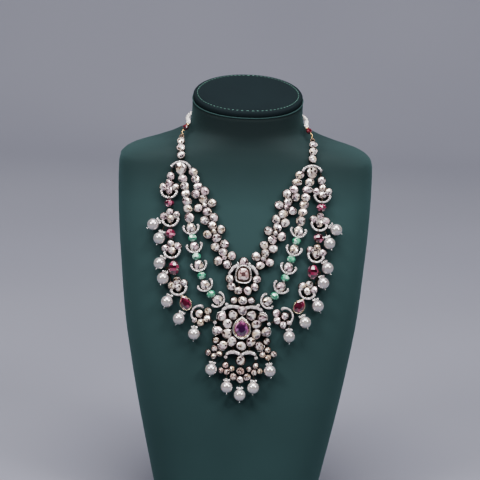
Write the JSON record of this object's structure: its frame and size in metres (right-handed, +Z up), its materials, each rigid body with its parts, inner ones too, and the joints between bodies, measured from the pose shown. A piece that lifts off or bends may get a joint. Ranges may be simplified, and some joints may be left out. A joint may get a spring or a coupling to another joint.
{
  "type": "layered necklace on a neck bust",
  "caption": "Layered necklace of uncut stones, pavé crescents, ruby and emerald beads and pearl drops, laid on a plain neck bust with a stitched cap.",
  "frame": {"origin": "middle of the bounding box, on the surface that the bust stands on", "axes": "+Z up, the necklace faces -Y, +X towards the right side as seen from the front"},
  "size_m": [0.2352, 0.1563, 0.3909],
  "materials": {
    "bust": "satin leatherette",
    "cap": "satin leatherette",
    "seed_beads": "glossy seed beads",
    "gold": "polished",
    "silver": "bright, set with small stones",
    "dark_silver": "dark, worn bright at the edges",
    "uncut_stone": "glossy, pale",
    "purple_stone": "glossy",
    "pink_stone": "glossy",
    "ruby": "glossy, translucent",
    "emerald": "glossy, translucent",
    "garnet": "glossy",
    "pearl": "pearly"
  },
  "bodies": {
    "root": {"bust": "bust", "neck_cap": "cap", "seed_rope_left": "seed_beads", "seed_rope_right": "seed_beads", "clasp": "gold", "garnet_left": "garnet", "garnet_right": "garnet", "gold_ring_left": "gold", "gold_ring_right": "gold", "neck_settings_left": "dark_silver", "neck_settings_right": "dark_silver", "neck_stones_left": "uncut_stone", "neck_stones_right": "uncut_stone", "inner_settings_left": "dark_silver", "inner_settings_right": "dark_silver", "inner_stones_left": "uncut_stone", "inner_stones_right": "uncut_stone", "middle_settings_left": "dark_silver", "middle_settings_right": "dark_silver", "middle_stones_left": "uncut_stone", "middle_stones_right": "uncut_stone", "emeralds_left": "emerald", "emeralds_right": "emerald", "outer_settings_left": "dark_silver", "outer_settings_right": "dark_silver", "outer_stones_left": "uncut_stone", "outer_stones_right": "uncut_stone", "rubies_left": "ruby", "rubies_right": "ruby", "upper_pendant_frame": "silver", "upper_pendant_stones": "uncut_stone", "upper_pendant_centre": "pink_stone", "lower_pendant_frame": "silver", "lower_pendant_stones": "uncut_stone", "pear_stone": "purple_stone", "fringe_settings": "silver", "pearl_pins": "silver", "pearl_left_1": "pearl", "pearl_left_2": "pearl", "pearl_left_3": "pearl", "pearl_left_4": "pearl", "pearl_left_5": "pearl", "pearl_left_6": "pearl", "pearl_left_7": "pearl", "pearl_right_1": "pearl", "pearl_right_2": "pearl", "pearl_right_3": "pearl", "pearl_right_4": "pearl", "pearl_right_5": "pearl", "pearl_right_6": "pearl", "pearl_right_7": "pearl", "fringe_pearl_1": "pearl", "fringe_pearl_2": "pearl", "fringe_pearl_3": "pearl", "fringe_pearl_4": "pearl", "fringe_pearl_5": "pearl"}
  },
  "joints": []
}
